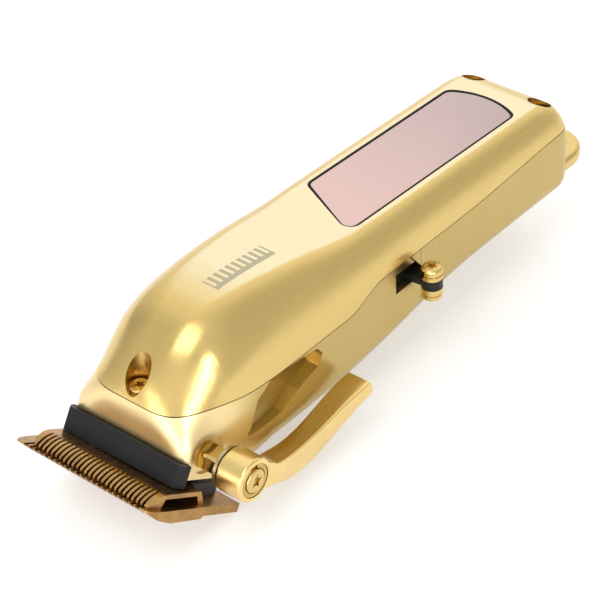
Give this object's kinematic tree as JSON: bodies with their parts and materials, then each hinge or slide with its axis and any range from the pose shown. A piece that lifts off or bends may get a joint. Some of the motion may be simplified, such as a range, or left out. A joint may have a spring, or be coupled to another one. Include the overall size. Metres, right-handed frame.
{
  "type": "hair clipper",
  "caption": "Cordless hair clipper with a gold housing, reciprocating cutter on a comb blade, taper lever, side slide switch, display window and hanging loop.",
  "frame": {"origin": "middle of the comb blade's tooth-tip line", "axes": "+Y back along the body from the teeth to the hanging loop, +Z out of the display side, +X out of the taper-lever side"},
  "size_m": [0.0576, 0.1922, 0.0501],
  "materials": {
    "upper_cover": "brushed champagne-gold plate with polished shoulders",
    "lower_housing": "satin gold plate, polished at the nose",
    "rear_shell": "satin gold plate",
    "hanging_loop": "polished gold plate",
    "inner_chassis": "moulded black",
    "blade_guard": "fine matte black",
    "display_lens": "rose-tinted mirrored window",
    "display_gasket": "black",
    "display_board": "green board",
    "cover_screws": "gold-plated screws",
    "battery_cell": "sleeved cell",
    "main_board": "green board",
    "charge_socket": "black",
    "motor_body": "plated can",
    "motor_bearing": "sintered bronze",
    "motor_screws": "zinc plated",
    "motor_damper": "black",
    "drive_eccentric": "turned",
    "drive_yoke": "natural white",
    "tension_spring": "spring wire",
    "cutter_blade": "bronze-gold coated",
    "comb_blade": "bronze-gold coated",
    "blade_carrier": "black",
    "blade_screws": "zinc plated",
    "taper_lever": "polished gold plate",
    "lever_shaft": "gold plate",
    "lever_washer": "thin washer",
    "lever_clip": "spring clip",
    "lever_screw": "gold-plated screw",
    "power_slider": "black",
    "switch_cap_upper": "gold-plated cap",
    "switch_cap_lower": "gold-plated cap",
    "switch_module": "black"
  },
  "bodies": {
    "housing": {"upper_cover": "upper_cover", "lower_housing": "lower_housing", "rear_shell": "rear_shell", "hanging_loop": "hanging_loop", "inner_chassis": "inner_chassis", "blade_guard": "blade_guard", "display_lens": "display_lens", "display_gasket": "display_gasket", "display_board": "display_board", "cover_screws": "cover_screws", "battery_cell": "battery_cell", "main_board": "main_board", "charge_socket": "charge_socket", "motor_body": "motor_body", "motor_bearing": "motor_bearing", "motor_screws": "motor_screws", "motor_damper": "motor_damper", "switch_module": "switch_module"},
    "lever": {"taper_lever": "taper_lever", "lever_shaft": "lever_shaft", "lever_washer": "lever_washer", "lever_clip": "lever_clip", "lever_screw": "lever_screw"},
    "comb": {"comb_blade": "comb_blade", "blade_carrier": "blade_carrier", "blade_screws": "blade_screws", "tension_spring": "tension_spring"},
    "cutter": {"cutter_blade": "cutter_blade", "drive_yoke": "drive_yoke"},
    "crank": {"drive_eccentric": "drive_eccentric"},
    "switch": {"power_slider": "power_slider", "switch_cap_upper": "switch_cap_upper", "switch_cap_lower": "switch_cap_lower"}
  },
  "joints": [
    {"name": "taper_lever_hinge", "type": "hinge", "parent": "housing", "child": "lever", "pos_m": [0, 0.0244, -0.0009], "axis": [1, 0, 0], "range_deg": [0, 25]},
    {"name": "comb_slide", "type": "slide", "parent": "housing", "child": "comb", "axis": [0, 0.8572, -0.515], "range_m": [0, 0.000974]},
    {"name": "cutter_slide", "type": "slide", "parent": "housing", "child": "cutter", "axis": [1, 0, 0], "range_m": [-0.0026, 0]},
    {"name": "eccentric_spin", "type": "hinge", "parent": "housing", "child": "crank", "pos_m": [0, 0.04, 0.008], "axis": [0, 1, 0], "continuous": true},
    {"name": "power_slide", "type": "slide", "parent": "housing", "child": "switch", "axis": [0, -1, 0], "range_m": [0, 0.0055]}
  ],
  "couplings": [
    {"joint": "comb_slide", "follows": "taper_lever_hinge", "m_per_rad": 0.002232}
  ]
}
